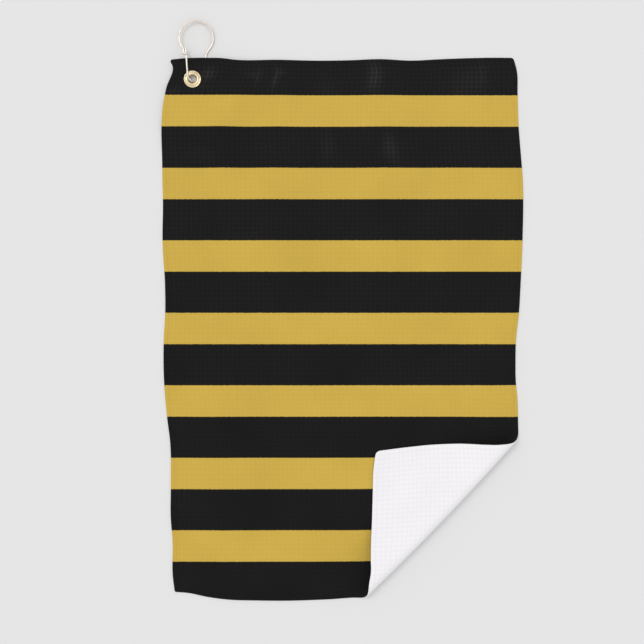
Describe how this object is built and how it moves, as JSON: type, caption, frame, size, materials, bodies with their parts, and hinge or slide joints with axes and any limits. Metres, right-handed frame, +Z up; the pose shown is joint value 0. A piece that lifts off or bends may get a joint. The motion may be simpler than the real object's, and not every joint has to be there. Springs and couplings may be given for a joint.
{
  "type": "golf towel",
  "caption": "Striped waffle cloth towel laid face up with one corner turned over, a brass corner eyelet and a bulb-shaped wire bag hook through it.",
  "frame": {"origin": "on the surface that the towel lies on, under the middle of the whole object's box", "axes": "+Z up, +Y along the towel's length towards the hook, +X across its width"},
  "size_m": [0.3969, 0.6377, 0.0223],
  "materials": {
    "printed_cloth": "matt microfibre waffle weave, printed in black and gold stripes",
    "white_cloth": "matt white microfibre waffle weave",
    "printed_thread": "polyester sewing thread under the print",
    "white_thread": "white polyester sewing thread",
    "eyelet_brass": "polished, stamped",
    "hook_brass": "polished plating over spring wire"
  },
  "bodies": {
    "towel": {"towel_panel": "printed_cloth", "corner_roll": "white_cloth", "hem_thread_left": "printed_thread", "hem_thread_right": "printed_thread", "hem_thread_top": "printed_thread", "hem_thread_bottom": "printed_thread", "eyelet": "eyelet_brass", "eyelet_washer": "eyelet_brass"},
    "corner": {"corner_flap": "white_cloth", "corner_thread_side": "white_thread", "corner_thread_bottom": "white_thread"},
    "hook": {"hook_wire": "hook_brass"},
    "gate": {"hook_gate": "hook_brass"}
  },
  "joints": [
    {"name": "corner_fold", "type": "hinge", "parent": "towel", "child": "corner", "pos_m": [0.1137, -0.22927, 0.012], "axis": [0.6866, 0.727, 0], "range_deg": [0, 178], "deforming": ["corner_roll"]},
    {"name": "hook_swivel", "type": "hinge", "parent": "towel", "child": "hook", "pos_m": [-0.1645, 0.25367, 0.0049], "axis": [0, 0, 1], "range_deg": [-35, 105]},
    {"name": "gate_opening", "type": "hinge", "parent": "hook", "child": "gate", "pos_m": [-0.1701, 0.26567, 0.00755], "axis": [0, 0, -1], "range_deg": [0, 14], "stiffness_Nm_per_rad": 0.5, "springref_deg": -2.86}
  ]
}
